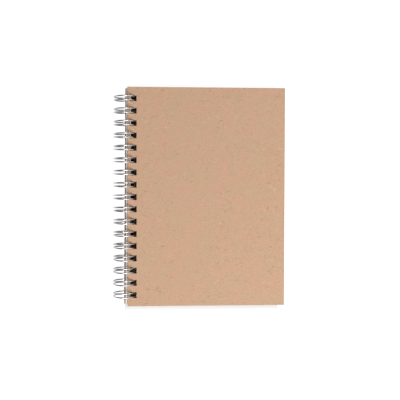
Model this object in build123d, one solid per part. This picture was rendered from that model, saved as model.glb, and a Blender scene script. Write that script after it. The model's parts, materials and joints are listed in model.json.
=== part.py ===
from build123d import *
from math import asin, atan2, cos, degrees, hypot, radians, sin, sqrt
import os

# Wire-bound sketchbook, closed and lying on its back cover. Millimetres, +Z up,
# spine towards -X, head of the page towards +Y.
# Every leaf is laid out in the book's own frame, whose origin is the loops' centre,
# and the whole book is then tilted about that centre until it rests on z = 0.

# --- overall sizes: the covers are larger than the sheets by their overhangs
sheet_width = 105.0
sheet_height = 148.0
fore_overhang = 4.0
end_overhang = 1.5
cover_width = sheet_width + fore_overhang
cover_height = sheet_height + 2 * end_overhang
cover_thickness = 1.2
sheet_count = 50
sheet_thickness = 0.13
air_gap = 0.025
cover_corner = 0.35
sheet_corner = 0.3

# --- twin-loop wire, three loops to the inch
loops_per_inch = 3
loop_pitch = 25.4 / loops_per_inch
end_margin = 6.0
wire_diameter = 0.95
wire_spacing = 2.6
loop_room = 3.5
bend_radius = 0.7
tip_gap = 0.35
seam_angle = -82.0

# --- punched holes, each margin measured from the leaf's own spine edge
cover_margin = 1.9
sheet_margin = 2.95
hole_slack = 0.12
hole_play = 0.25
wire_clearance = 0.15
seat_clearance = 0.2

# --- how the closed leaves lie on the loops
front_edge = 2.2
sheet_edge = 1.2
back_edge = 0.0
front_skew = 0.25
back_skew = -0.2

# --- derived sizes
wire_radius = wire_diameter / 2
stack_thickness = 2 * cover_thickness + sheet_count * (sheet_thickness + air_gap) + air_gap
loop_inner_radius = (stack_thickness + loop_room) / 2
loop_radius = loop_inner_radius + wire_radius
loop_outer_radius = loop_radius + wire_radius
loop_count = int((sheet_height - 2 * end_margin) / loop_pitch) + 1
loop_ys = [(i - (loop_count - 1) / 2) * loop_pitch for i in range(loop_count)]
hole_height = wire_spacing + wire_diameter + 2 * hole_play
finger_half = wire_spacing / 2
seam_length = bend_radius + finger_half + wire_diameter + tip_gap
seam_sweep = degrees(seam_length / loop_radius)

connector_angle = radians(seam_angle) + atan2(bend_radius, loop_radius)
connector_z = hypot(loop_radius, bend_radius) * sin(connector_angle)
back_bottom = connector_z + wire_radius + seat_clearance


def leaf_levels():
    """Bottom height of every leaf in the book's frame, from the back cover up to the front cover."""
    levels = [back_bottom]
    level = back_bottom + cover_thickness + air_gap
    for _ in range(sheet_count):
        levels.append(level)
        level += sheet_thickness + air_gap
    levels.append(level)
    return levels


def wire_span(low, high, skew):
    """How far the wire's inner and outer sides stand from the loops' centre where it crosses a leaf."""
    nearest = 0.0 if low < 0 < high else min(abs(low), abs(high))
    farthest = max(abs(low), abs(high))
    room = wire_clearance + abs(sin(radians(skew))) * loop_ys[-1]
    inner = sqrt(loop_inner_radius ** 2 - farthest ** 2) - room
    outer = sqrt(loop_outer_radius ** 2 - nearest ** 2) + room
    return inner, outer


back_inner, back_outer = wire_span(back_bottom, back_bottom + cover_thickness, back_skew)
hole_width = back_outer - back_inner + hole_slack


def seat_edge(wanted, margin, low, high, skew):
    """Spine edge as near the wanted place as the wire in the leaf's holes allows."""
    inner, outer = wire_span(low, high, skew)
    least = outer - margin - hole_width
    greatest = inner - margin
    return min(max(wanted, least), greatest)


def leaf(width, height, thickness, corner, margin, wanted_edge, level, skew):
    """One punched leaf in the book's frame."""
    edge = seat_edge(wanted_edge, margin, level, level + thickness, skew)
    outline = Pos(width / 2, 0) * RectangleRounded(width, height, corner)
    hole = Pos(margin + hole_width / 2, 0) * Rectangle(hole_width, hole_height)
    holes = [Pos(0, y) * hole for y in loop_ys]
    plate = extrude(outline - holes, thickness)
    return Pos(edge, 0, level) * Rot(Z=skew) * plate


def on_loop(angle, y, ahead=0.0):
    """Point on the loop circle at an angle in degrees, moved ahead along its tangent."""
    a = radians(angle)
    x = loop_radius * cos(a) + ahead * sin(a)
    z = loop_radius * sin(a) - ahead * cos(a)
    return Vector(x, y, z)


def finger_path():
    """Centre line of one double loop, from the middle of one connector to the middle of the next."""
    start = seam_angle
    end = seam_angle - 360 + seam_sweep
    middle = (start + end) / 2
    half_pitch = loop_pitch / 2
    left = -finger_half
    right = finger_half
    bend_back = bend_radius * sqrt(0.5)
    bend_side = bend_radius - bend_back
    left_bend_middle = on_loop(start, left - bend_side, -bend_back)
    right_bend_middle = on_loop(start, right + bend_side, -bend_back)
    tip = on_loop(end, 0, finger_half)
    left_corner = on_loop(start, left - bend_radius, -bend_radius)
    right_corner = on_loop(start, right + bend_radius, -bend_radius)
    edges = [
        Line(on_loop(start, -half_pitch, -bend_radius), left_corner),
        ThreePointArc(left_corner, left_bend_middle, on_loop(start, left)),
        ThreePointArc(on_loop(start, left), on_loop(middle, left), on_loop(end, left)),
        ThreePointArc(on_loop(end, left), tip, on_loop(end, right)),
        ThreePointArc(on_loop(end, right), on_loop(middle, right), on_loop(start, right)),
        ThreePointArc(on_loop(start, right), right_bend_middle, right_corner),
        Line(right_corner, on_loop(start, half_pitch, -bend_radius)),
    ]
    return Wire(edges)


def wire_loops():
    """The one bent wire: every double loop joined to the next by its connector."""
    path = finger_path()
    section = Plane(origin=path @ 0, z_dir=path % 0) * Circle(wire_radius)
    finger = sweep(section, path=path)
    return Part() + [Pos(0, y, 0) * finger for y in loop_ys]


def book_tilt():
    """Tilt in degrees that brings the back cover's fore-edge down to the table."""
    edge = seat_edge(back_edge, cover_margin, back_bottom, back_bottom + cover_thickness, back_skew)
    reach = edge + cover_width
    depth = -back_bottom
    return degrees(asin(loop_outer_radius / hypot(depth, reach)) - atan2(depth, reach))


def build_leaves():
    """Every leaf by name, in the book's frame."""
    levels = leaf_levels()
    cover = (cover_width, cover_height, cover_thickness, cover_corner, cover_margin)
    sheet = (sheet_width, sheet_height, sheet_thickness, sheet_corner, sheet_margin)
    leaves = {}
    leaves["back_cover"] = leaf(*cover, back_edge, levels[0], back_skew)
    for i in range(sheet_count):
        number = sheet_count - i
        rise = i / max(sheet_count - 1, 1)
        skew = back_skew * (1 - rise)
        leaves[f"sheet_{number:02d}"] = leaf(*sheet, sheet_edge, levels[i + 1], skew)
    leaves["front_cover"] = leaf(*cover, front_edge, levels[-1], front_skew)
    return leaves


def main():
    """Build every node, set the book down on z = 0 and centre its footprint."""
    nodes = build_leaves()
    nodes["wire_binding"] = wire_loops()
    tilt = Pos(0, 0, loop_outer_radius) * Rot(Y=book_tilt())
    nodes = {name: tilt * shape for name, shape in nodes.items()}
    box = Compound(children=[Compound(shape.wrapped) for shape in nodes.values()]).bounding_box()
    centre = Pos(-(box.min.X + box.max.X) / 2, -(box.min.Y + box.max.Y) / 2, -box.min.Z)
    os.makedirs("parts", exist_ok=True)
    for name, shape in nodes.items():
        export_step(centre * shape, f"parts/{name}.step")


main()
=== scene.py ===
"""The looks of a wire-bound sketchbook: kraft boards, a block of drawing paper and a twin-loop wire."""

import json
import logging
import math
from dataclasses import dataclass, field
from enum import Enum
from typing import Any, Iterable

import bmesh
import bpy
from mathutils import Euler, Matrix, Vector

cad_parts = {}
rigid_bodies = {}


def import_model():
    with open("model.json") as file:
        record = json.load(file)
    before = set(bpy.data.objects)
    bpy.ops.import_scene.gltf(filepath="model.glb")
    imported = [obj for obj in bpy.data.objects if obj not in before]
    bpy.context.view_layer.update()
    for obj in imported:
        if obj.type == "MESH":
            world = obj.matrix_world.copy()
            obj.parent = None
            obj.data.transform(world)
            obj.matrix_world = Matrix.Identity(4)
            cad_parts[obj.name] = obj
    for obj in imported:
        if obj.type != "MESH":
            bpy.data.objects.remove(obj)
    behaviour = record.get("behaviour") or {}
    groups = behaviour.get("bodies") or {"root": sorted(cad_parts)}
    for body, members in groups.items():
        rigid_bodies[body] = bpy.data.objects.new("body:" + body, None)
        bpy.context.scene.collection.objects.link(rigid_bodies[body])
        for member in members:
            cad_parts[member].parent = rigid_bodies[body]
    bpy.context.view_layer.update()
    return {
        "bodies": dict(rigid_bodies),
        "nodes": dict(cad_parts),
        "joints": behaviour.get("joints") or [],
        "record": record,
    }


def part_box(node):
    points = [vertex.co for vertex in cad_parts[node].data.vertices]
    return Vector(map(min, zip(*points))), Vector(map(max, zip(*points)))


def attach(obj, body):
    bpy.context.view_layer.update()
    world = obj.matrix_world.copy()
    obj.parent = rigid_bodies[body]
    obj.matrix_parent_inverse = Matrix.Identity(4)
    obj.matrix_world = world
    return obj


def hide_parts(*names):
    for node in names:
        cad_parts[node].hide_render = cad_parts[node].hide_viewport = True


log = logging.getLogger("sketchbook")

MM = 0.001
Colour = tuple[float, float, float]


# ---------------------------------------------------------------- shader maths

class Value:
    """A socket in a material, so that shader maths reads as an expression."""

    def __init__(self, recipe: "Recipe", socket: bpy.types.NodeSocket) -> None:
        """Wrap one output socket of the recipe's node tree."""
        self.recipe = recipe
        self.socket = socket

    def _math(self, operation: str, first: Any, second: Any) -> "Value":
        """Add a Math node.

        Args:
            operation: The node's operation.
            first: A value or a number.
            second: A value or a number.

        Returns:
            The node's result.
        """
        return self.recipe.add("ShaderNodeMath", {"operation": operation}, {0: first, 1: second})

    def __add__(self, other: Any) -> "Value":
        """Sum with a value or a number."""
        return self._math("ADD", self, other)

    def __radd__(self, other: Any) -> "Value":
        """Sum with a number on the left."""
        return self._math("ADD", other, self)

    def __sub__(self, other: Any) -> "Value":
        """Difference from a value or a number."""
        return self._math("SUBTRACT", self, other)

    def __rsub__(self, other: Any) -> "Value":
        """Difference from a number on the left."""
        return self._math("SUBTRACT", other, self)

    def __mul__(self, other: Any) -> "Value":
        """Product with a value or a number."""
        return self._math("MULTIPLY", self, other)

    def __rmul__(self, other: Any) -> "Value":
        """Product with a number on the left."""
        return self._math("MULTIPLY", other, self)

    def size(self) -> "Value":
        """The value without its sign."""
        return self._math("ABSOLUTE", self, 0.0)

    def largest(self, other: Any) -> "Value":
        """The larger of this and a value or a number."""
        return self._math("MAXIMUM", self, other)

    def band(self, low: float, high: float) -> "Value":
        """Rise smoothly from 0 at low to 1 at high.

        Args:
            low: Where the result leaves 0.
            high: Where the result reaches 1.

        Returns:
            The clamped result.
        """
        settings = {"interpolation_type": "SMOOTHSTEP"}
        inputs = {"Value": self, "From Min": low, "From Max": high}
        return self.recipe.add("ShaderNodeMapRange", settings, inputs)


class Recipe:
    """One material under construction."""

    def __init__(self, name: str) -> None:
        """Start an empty material with a Principled shader wired to its output."""
        self.material = bpy.data.materials.new(name)
        self.material.use_nodes = True
        self.tree = self.material.node_tree
        self.shader = next(n for n in self.tree.nodes if n.type == "BSDF_PRINCIPLED")

    def add(self, kind: str, settings: dict[str, Any], inputs: dict[Any, Any], output: Any = 0) -> Value:
        """Add a node.

        Args:
            kind: The node's type.
            settings: Properties that are set before its sockets.
            inputs: Sockets by name, identifier or index, each with a number, a tuple or a value to link.
            output: Name, identifier or index of the wanted output.

        Returns:
            The wanted output.
        """
        node = self.tree.nodes.new(kind)
        for name, setting in settings.items():
            setattr(node, name, setting)
        for name, wanted in inputs.items():
            self.feed(self._socket(node.inputs, name), wanted)
        return Value(self, self._socket(node.outputs, output))

    @staticmethod
    def _socket(sockets: Any, name: Any) -> bpy.types.NodeSocket:
        """Find a socket.

        Args:
            sockets: A node's inputs or outputs.
            name: An index, an identifier, or the name of a socket that is in use.

        Returns:
            The socket.
        """
        if isinstance(name, int):
            return sockets[name]
        by_id = [s for s in sockets if s.identifier == name]
        by_name = [s for s in sockets if s.name == name and s.enabled]
        return (by_id + by_name)[0]

    def feed(self, socket: bpy.types.NodeSocket, wanted: Any) -> None:
        """Link a value to a socket, or set the socket to a constant."""
        if isinstance(wanted, Value):
            self.tree.links.new(wanted.socket, socket)
        else:
            socket.default_value = wanted

    def place(self, scale: tuple[float, float, float] = (1, 1, 1), turn: float = 0.0) -> Value:
        """Read the piece's own coordinates.

        Args:
            scale: Stretch along X, Y and Z.
            turn: Turn about Z, in degrees.

        Returns:
            The coordinates.
        """
        place = self.add("ShaderNodeTexCoord", {}, {}, "Object")
        inputs = {"Vector": place, "Scale": scale, "Rotation": (0, 0, math.radians(turn))}
        return self.add("ShaderNodeMapping", {"vector_type": "POINT"}, inputs)

    def noise(self, size: float, detail: float = 2.0, rough: float = 0.5, at: Value | None = None) -> Value:
        """Noise around 0.5.

        Args:
            size: Width of its largest features, in millimetres.
            detail: Octaves.
            rough: Strength of the finer octaves.
            at: Coordinates, or None for the piece's own.

        Returns:
            The noise.
        """
        scale = 1 / (size * MM)
        inputs = {"Vector": at or self.place(), "Scale": scale, "Detail": detail, "Roughness": rough}
        return self.add("ShaderNodeTexNoise", {"noise_dimensions": "3D"}, inputs, "Fac")

    def blend(self, factor: Any, first: Any, second: Any, mode: str = "MIX") -> Value:
        """Mix two colours.

        Args:
            factor: How much of the second.
            first: A colour or a colour value.
            second: A colour or a colour value.
            mode: The blend mode.

        Returns:
            The mixed colour.
        """
        inputs = {"Factor_Float": factor, "A_Color": rgba(first), "B_Color": rgba(second)}
        settings = {"data_type": "RGBA", "blend_type": mode}
        return self.add("ShaderNodeMix", settings, inputs, "Result_Color")

    def bump(self, height: Value, depth: float) -> None:
        """Raise the surface by a height of 0 to 1, in millimetres at 1."""
        inputs = {"Height": height, "Distance": depth * MM, "Strength": 1.0}
        self.feed(self.shader.inputs["Normal"], self.add("ShaderNodeBump", {}, inputs, "Normal"))

    def finish(self, colour: Any, roughness: Any, **constants: float) -> bpy.types.Material:
        """Feed the shader.

        Args:
            colour: Base colour, varying or not.
            roughness: Roughness, varying or not.
            **constants: Other sockets by name, with spaces as underscores.

        Returns:
            The material.
        """
        self.feed(self.shader.inputs["Base Color"], rgba(colour))
        self.feed(self.shader.inputs["Roughness"], roughness)
        for name, constant in constants.items():
            self.shader.inputs[name.replace("_", " ")].default_value = constant
        return self.material


def rgba(colour: Any) -> Any:
    """A plain colour with full alpha, or a value as it is."""
    return (*colour, 1.0) if isinstance(colour, tuple) and len(colour) == 3 else colour


# ---------------------------------------------------------------- finishes

@dataclass(frozen=True)
class KraftBoard:
    """The uncoated, flecked face of a recycled kraft board. Sizes in millimetres."""

    base: Colour = (0.470, 0.298, 0.198)
    rosy: Colour = (0.505, 0.292, 0.202)
    sandy: Colour = (0.440, 0.314, 0.192)
    hair: Colour = (0.210, 0.112, 0.066)
    fleck: Colour = (0.620, 0.470, 0.350)
    hair_turns: tuple[float, ...] = (14.0, 61.0, 103.0, 156.0)
    cloud_size: float = 11.0
    mottle_size: float = 2.4
    hair_size: float = 0.55
    hair_stretch: float = 0.22
    hair_strength: float = 0.75
    fleck_strength: float = 0.5
    fleck_shift: float = 31.0
    coarse_size: float = 1.1
    coarse_strength: float = 0.18
    grain_size: float = 0.22
    grain_strength: float = 0.14
    relief: float = 0.022

    def hairs(self, recipe: Recipe, shift: float) -> Value:
        """Scattered hair-like fibres, each gently curled.

        Args:
            recipe: The material.
            shift: Moves the pattern, so that two sets differ.

        Returns:
            A mask of the fibres.
        """
        total: Any = 0.0
        for turn in self.hair_turns:
            along = recipe.place((self.hair_stretch, 1.0, 1.0), turn + shift)
            line = recipe.noise(self.hair_size, 1.0, 0.4, along).band(0.70, 0.76)
            total = line + total
        patches = recipe.place((1.0, 1.0, 1.0), shift)
        sparse = recipe.noise(self.mottle_size * 2, 1.0, 0.5, patches).band(0.5, 0.62)
        return total * sparse

    def material(self) -> bpy.types.Material:
        """Softly mottled board with scattered dark hairs, a few pale flecks and a fibrous surface."""
        recipe = Recipe("kraft_board")
        cloud = recipe.noise(self.cloud_size, 3.0, 0.55).band(0.36, 0.64)
        mottle = recipe.noise(self.mottle_size, 3.0, 0.6).band(0.3, 0.7)
        colour = recipe.blend(cloud * 0.5 + mottle * 0.5, self.rosy, self.sandy)
        colour = recipe.blend(0.25, colour, self.base)
        dark, pale = self.hairs(recipe, 0.0), self.hairs(recipe, self.fleck_shift)
        colour = recipe.blend(dark * self.hair_strength, colour, self.hair)
        colour = recipe.blend(pale * self.fleck_strength, colour, self.fleck)
        grain = recipe.noise(self.grain_size, 3.0, 0.6)
        coarse = recipe.noise(self.coarse_size, 2.0, 0.6).band(0.42, 0.72)
        speckle = coarse * self.coarse_strength + grain.band(0.35, 0.75) * self.grain_strength
        colour = recipe.blend(speckle, colour, self.hair)
        recipe.bump(grain * 0.7 + dark * 0.2 + mottle * 0.3, self.relief)
        rough = recipe.noise(0.8, 2.0) * 0.1 + 0.82
        return recipe.finish(colour, rough, Specular_IOR_Level=0.25)


@dataclass(frozen=True)
class BoardEdge:
    """The cut edge of the board: grey-brown, with its pressed layers showing. Sizes in millimetres."""

    base: Colour = (0.37, 0.265, 0.190)
    dark: Colour = (0.250, 0.170, 0.115)
    layer: float = 0.18
    crumb: float = 0.3
    relief: float = 0.05

    def material(self) -> bpy.types.Material:
        """Thin streaks that follow the board's layers, broken along its length."""
        recipe = Recipe("board_edge")
        layers = recipe.noise(self.layer, 2.0, 0.6, recipe.place((0.06, 0.06, 1.0)))
        crumbs = recipe.noise(self.crumb, 3.0, 0.65)
        streaks = layers.band(0.35, 0.65) * 0.6 + crumbs.band(0.45, 0.7) * 0.4
        colour = recipe.blend(streaks, self.base, self.dark)
        recipe.bump(layers * 0.6 + crumbs * 0.5, self.relief)
        return recipe.finish(colour, 0.9, Specular_IOR_Level=0.15)


@dataclass(frozen=True)
class DrawingPaper:
    """Uncoated white cartridge paper. Sizes in millimetres."""

    base: Colour = (0.69, 0.675, 0.645)
    shade: Colour = (0.57, 0.552, 0.52)
    sheet_pitch: float = 0.155
    fibre_size: float = 0.25
    relief: float = 0.012

    def material(self) -> bpy.types.Material:
        """Soft tooth on the face, and edges whose tone drifts from sheet to sheet."""
        recipe = Recipe("drawing_paper")
        drift = recipe.noise(self.sheet_pitch * 2, 1.0, 0.5, recipe.place((0.004, 0.004, 1.0)))
        fibre = recipe.noise(self.fibre_size, 3.0, 0.6)
        tone = drift.band(0.4, 0.7) * 0.35 + fibre.band(0.4, 0.75) * 0.25
        colour = recipe.blend(tone, self.base, self.shade)
        recipe.bump(fibre, self.relief)
        return recipe.finish(colour, fibre * 0.1 + 0.85, Specular_IOR_Level=0.2)


@dataclass(frozen=True)
class SilverWire:
    """Bright drawn steel wire with a silver coat. Sizes in millimetres."""

    base: Colour = (0.53, 0.53, 0.55)
    worn: Colour = (0.36, 0.36, 0.38)
    rub_size: float = 1.6
    fine_size: float = 0.12
    relief: float = 0.004

    def material(self) -> bpy.types.Material:
        """Satin metal with faint rubbed patches."""
        recipe = Recipe("silver_wire")
        rub = recipe.noise(self.rub_size, 3.0, 0.6)
        fine = recipe.noise(self.fine_size, 2.0, 0.6)
        colour = recipe.blend(rub.band(0.5, 0.75) * 0.5, self.base, self.worn)
        recipe.bump(fine, self.relief)
        return recipe.finish(colour, rub * 0.18 + 0.22, Metallic=1.0)


@dataclass(frozen=True)
class StudioFloor:
    """A plain grey table that glows white round the book, but not beneath it, and fades to a painted soft
    shadow past the book's tail. Sizes in millimetres.
    """

    base: Colour = (0.2, 0.2, 0.2)
    glow: float = 0.93
    inset: float = 1.2
    # the painted soft shadow past the book's tail: how far it reaches, and how much glow is left at its
    # darkest
    tail_shadow_reach: float = 9.0
    tail_shadow_glow: float = 0.55

    def material(self) -> bpy.types.Material:
        """Matt grey, with a white glow that stops at the back cover and fades in slowly past its tail, which
        paints a soft shadow below the book's bottom edge.

        Returns:
            The material.
        """
        recipe = Recipe("studio_floor")
        low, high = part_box("back_cover")
        place = recipe.place()
        x = recipe.add("ShaderNodeSeparateXYZ", {}, {"Vector": place}, "X")
        y = recipe.add("ShaderNodeSeparateXYZ", {}, {"Vector": place}, "Y")
        inset = self.inset * MM
        past_sides = ((x - (low.x + high.x) / 2).size() - (high.x - low.x) / 2).band(-inset, 0.0)
        past_head = (y - high.y).band(-inset, 0.0)
        # painted shadow: below the book's tail the glow starts dimmed and rises to full, a soft shadow
        # painted onto the floor
        rise = (low.y - y).band(0.0, self.tail_shadow_reach * MM)
        past_tail_with_painted_shadow = (low.y - y).band(-inset, 0.0) * (rise * (1 - self.tail_shadow_glow) + self.tail_shadow_glow)
        black, white = (0.0, 0.0, 0.0), (1.0, 1.0, 1.0)
        lit = past_sides.largest(past_head).largest(past_tail_with_painted_shadow)
        recipe.feed(recipe.shader.inputs["Emission Color"], recipe.blend(lit, black, white))
        return recipe.finish(self.base, 1.0, Specular_IOR_Level=0.0, Emission_Strength=self.glow)


# ---------------------------------------------------------------- pieces

def new_piece(name: str, mesh: bpy.types.Mesh) -> bpy.types.Object:
    """Link a mesh into the scene as an object at the origin.

    Args:
        name: The piece's name.
        mesh: Its mesh.

    Returns:
        The object.
    """
    piece = bpy.data.objects.new(name, mesh)
    bpy.context.scene.collection.objects.link(piece)
    return piece


class CoverSide(Enum):
    """Which board of the book, as the frame's node and body names."""

    FRONT = ("front_cover", "front_cover")
    BACK = ("back_cover", "wire_and_back_cover")


@dataclass
class CoverBoard:
    """One punched board, with its cut edges eased and dressed apart from its faces. Sizes in millimetres."""

    side: CoverSide
    face: bpy.types.Material
    edge: bpy.types.Material
    ease: float = 0.14
    ease_steps: int = 3
    weld: float = 0.002
    flat_angle: float = 1.0
    corner_angle: float = 40.0
    face_slope: float = 0.8

    def build(self, frame: dict[str, Any]) -> bpy.types.Object:
        """Make the board from the frame's solid.

        Args:
            frame: The loaded frame.

        Returns:
            The board.
        """
        node, body = self.side.value
        shape = bmesh.new()
        shape.from_mesh(frame["nodes"][node].data)
        bmesh.ops.remove_doubles(shape, verts=shape.verts, dist=self.weld * MM)
        bmesh.ops.dissolve_limit(
            shape, angle_limit=math.radians(self.flat_angle), verts=shape.verts, edges=shape.edges,
            use_dissolve_boundaries=False, delimit=set(),
        )
        sharp = math.radians(self.corner_angle)
        corners = [e for e in shape.edges if e.is_manifold and e.calc_face_angle() > sharp]
        bmesh.ops.bevel(
            shape, geom=corners, offset=self.ease * MM, offset_type="OFFSET", segments=self.ease_steps,
            profile=0.5, affect="EDGES", material=-1, clamp_overlap=True,
        )
        bmesh.ops.recalc_face_normals(shape, faces=shape.faces)
        for polygon in shape.faces:
            polygon.material_index = 0 if abs(polygon.normal.z) > self.face_slope else 1
            polygon.smooth = False
        mesh = bpy.data.meshes.new(f"{node}_board")
        shape.to_mesh(mesh)
        shape.free()
        mesh.materials.append(self.face)
        mesh.materials.append(self.edge)
        board = new_piece(f"{node}_board", mesh)
        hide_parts(node)
        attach(board, body)
        return board


@dataclass
class PaperBlock:
    """The drawing sheets, kept as the frame's own solids."""

    finish: bpy.types.Material
    prefix: str = "sheet_"

    def build(self, frame: dict[str, Any]) -> list[bpy.types.Object]:
        """Dress every sheet.

        Args:
            frame: The loaded frame.

        Returns:
            The sheets.
        """
        sheets = [node for name, node in sorted(frame["nodes"].items()) if name.startswith(self.prefix)]
        for sheet in sheets:
            sheet.data.materials.clear()
            sheet.data.materials.append(self.finish)
        return sheets


@dataclass
class TwinLoopWire:
    """One wire bent back and forth into fingers that curl round into double loops. Sizes in millimetres."""

    finish: bpy.types.Material
    pitch: float = 25.4 / 3
    diameter: float = 0.95
    bend: float = 0.7
    tip_gap: float = 0.35
    seam: float = -82.0
    half_spacing: float = 1.3
    narrow: float = 0.8
    wide: float = 1.06
    arc_steps: int = 56
    bend_steps: int = 5
    tip_steps: int = 9
    swell_start: float = 95.0
    swell_turn: float = 90.0
    centre: Vector = field(default_factory=Vector)
    radius: float = 0.0
    count: int = 0

    def measure(self) -> None:
        """Take the loops' centre, radius and number from the frame."""
        low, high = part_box("wire_binding")
        outer = (high.z - low.z) / 2 / MM
        self.radius = outer - self.diameter / 2
        self.centre = Vector((low.x / MM + outer, (low.y + high.y) / 2 / MM, low.z / MM + outer))
        self.count = round((high.y - low.y) / MM / self.pitch)

    def swell(self, angle: float) -> float:
        """Smooth step from the spine side round to the cover.

        Args:
            angle: Degrees round the loop from its base.

        Returns:
            0 at the loop's base and spine side, rising to 1 over the cover.
        """
        rise = min(max((angle - self.swell_start) / self.swell_turn, 0.0), 1.0)
        return rise * rise * (3 - 2 * rise)

    def half_width(self, angle: float) -> float:
        """Half the distance between a loop's two wires: wide over the cover, narrow at the spine side.

        Args:
            angle: Degrees round the loop from its base.

        Returns:
            Half the spacing.
        """
        return self.half_spacing * (self.narrow + (self.wide - self.narrow) * self.swell(angle))

    def point(self, turn: float, y: float, ahead: float = 0.0) -> Vector:
        """A place on the loop circle.

        Args:
            turn: Degrees round the loop from the seam, the way the wire runs.
            y: Place along the spine.
            ahead: Distance moved on along the tangent.

        Returns:
            The point, in the row's frame.
        """
        a = math.radians(self.seam - turn)
        x = self.radius * math.cos(a) + ahead * math.sin(a)
        z = self.radius * math.sin(a) - ahead * math.cos(a)
        return self.centre + Vector((x, y, z))

    def side_bend(self, y: float, side: int, leaving: bool) -> list[Vector]:
        """The rounded corner between a connector and a loop.

        Args:
            y: The loop's middle.
            side: -1 for the wire before the middle, 1 for the wire after it.
            leaving: True where the wire runs out of the connector into the loop.

        Returns:
            The corner's points, in the order that the wire runs.
        """
        edge = y + side * self.half_width(0.0)
        points = []
        for step in range(1, self.bend_steps):
            a = math.radians(90 * step / self.bend_steps)
            out = self.bend * (1 - math.sin(a))
            back = self.bend * math.cos(a)
            points.append(self.point(0, edge + side * out, -back))
        return points if leaving else points[::-1]

    def finger(self, y: float) -> list[Vector]:
        """One double loop, from the middle of a connector to the middle of the next.

        Args:
            y: The loop's middle.

        Returns:
            Points along the wire's centre line.
        """
        half = self.half_spacing
        full = 360 - math.degrees((self.bend + half + self.diameter + self.tip_gap) / self.radius)
        turns = [full * step / self.arc_steps for step in range(self.arc_steps + 1)]
        base = self.half_width(0.0) + self.bend
        points = [self.point(0, y - self.pitch / 2, -self.bend), self.point(0, y - base, -self.bend)]
        points += self.side_bend(y, -1, True)
        points += [self.point(turn, y - self.half_width(turn)) for turn in turns]
        tip = self.half_width(full)
        for step in range(1, self.tip_steps):
            a = math.radians(180 * step / self.tip_steps)
            points.append(self.point(full, y - tip * math.cos(a), tip * math.sin(a)))
        points += [self.point(turn, y + self.half_width(turn)) for turn in reversed(turns)]
        points += self.side_bend(y, 1, False)
        points.append(self.point(0, y + base, -self.bend))
        return points

    def build(self) -> bpy.types.Object:
        """Draw the wire along its centre line.

        Returns:
            The wire.
        """
        self.measure()
        middles = [(i - (self.count - 1) / 2) * self.pitch for i in range(self.count)]
        route = [point for y in middles for point in self.finger(y)]
        route.append(self.point(0, middles[-1] + self.pitch / 2, -self.bend))
        curve = bpy.data.curves.new("twin_loop_route", "CURVE")
        curve.dimensions = "3D"
        curve.bevel_depth = self.diameter / 2 * MM
        curve.bevel_resolution = 3
        curve.use_fill_caps = True
        spline = curve.splines.new("POLY")
        spline.points.add(len(route) - 1)
        for place, point in zip(spline.points, route):
            place.co = (*(point * MM), 1.0)
        carrier = bpy.data.objects.new("twin_loop_route", curve)
        mesh = bpy.data.meshes.new_from_object(carrier)
        bpy.data.objects.remove(carrier)
        bpy.data.curves.remove(curve)
        for polygon in mesh.polygons:
            polygon.use_smooth = True
        mesh.materials.clear()
        mesh.materials.append(self.finish)
        mesh.name = "twin_loop_wire"
        wire = new_piece("twin_loop_wire", mesh)
        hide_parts("wire_binding")
        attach(wire, "wire_and_back_cover")
        return wire


# ---------------------------------------------------------------- studio

@dataclass(frozen=True)
class Softbox:
    """A square area light, aimed at the book."""

    name: str
    place: tuple[float, float, float]
    side: float
    power: float

    def build(self, aim: Vector) -> None:
        """Hang the light and turn it to the aim point."""
        lamp = bpy.data.lights.new(self.name, "AREA")
        lamp.shape = "SQUARE"
        lamp.size = self.side
        lamp.energy = self.power
        light = bpy.data.objects.new(self.name, lamp)
        light.location = self.place
        light.rotation_mode = "QUATERNION"
        light.rotation_quaternion = (aim - Vector(self.place)).to_track_quat("-Z", "Y")
        bpy.context.scene.collection.objects.link(light)


@dataclass
class Studio:
    """Floor, lights and the camera above the book."""

    floor_side: float = 60.0
    sky: float = 0.12
    lens: float = 62.1
    nearest: float = 0.01
    camera_place: tuple[float, float, float] = (-0.0216, 0.0123, 0.4872)
    camera_turn: tuple[float, float, float] = (-1.72, -2.63, 0.35)
    softboxes: tuple[Softbox, ...] = (
        Softbox("key_light", (0.30, -0.72, 1.15), 0.95, 27.5),
        Softbox("side_light", (0.95, 0.0, 0.5), 0.9, 5.5),
    )

    def build(self) -> None:
        """Lay the floor, light it and set the camera."""
        shape = bmesh.new()
        bmesh.ops.create_grid(shape, x_segments=1, y_segments=1, size=self.floor_side / 2)
        mesh = bpy.data.meshes.new("studio_floor")
        shape.to_mesh(mesh)
        shape.free()
        mesh.materials.append(StudioFloor().material())
        new_piece("studio_floor", mesh)
        scene = bpy.context.scene
        scene.view_settings.view_transform = "Standard"
        world = bpy.data.worlds.new("studio")
        world.use_nodes = True
        background = world.node_tree.nodes["Background"]
        background.inputs["Color"].default_value = (1.0, 1.0, 1.0, 1.0)
        background.inputs["Strength"].default_value = self.sky
        scene.world = world
        for softbox in self.softboxes:
            softbox.build(Vector((0.0, 0.0, 0.0)))
        camera = bpy.data.cameras.new("camera")
        camera.lens = self.lens
        camera.clip_start = self.nearest
        holder = bpy.data.objects.new("camera", camera)
        holder.location = self.camera_place
        holder.rotation_euler = Euler([math.radians(turn) for turn in self.camera_turn], "XYZ")
        scene.collection.objects.link(holder)
        scene.camera = holder


def main() -> None:
    """Build the book piece by piece, then the studio round it."""
    logging.basicConfig(level=logging.INFO, format="%(message)s")
    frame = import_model()
    face, edge = KraftBoard().material(), BoardEdge().material()
    for side in CoverSide:
        board = CoverBoard(side, face, edge).build(frame)
        log.info("%s: %d faces", board.name, len(board.data.polygons))
    sheets = PaperBlock(DrawingPaper().material()).build(frame)
    log.info("paper block: %d sheets", len(sheets))
    wire = TwinLoopWire(SilverWire().material()).build()
    log.info("%s: %d faces", wire.name, len(wire.data.polygons))
    Studio().build()


if __name__ == "__main__":
    main()
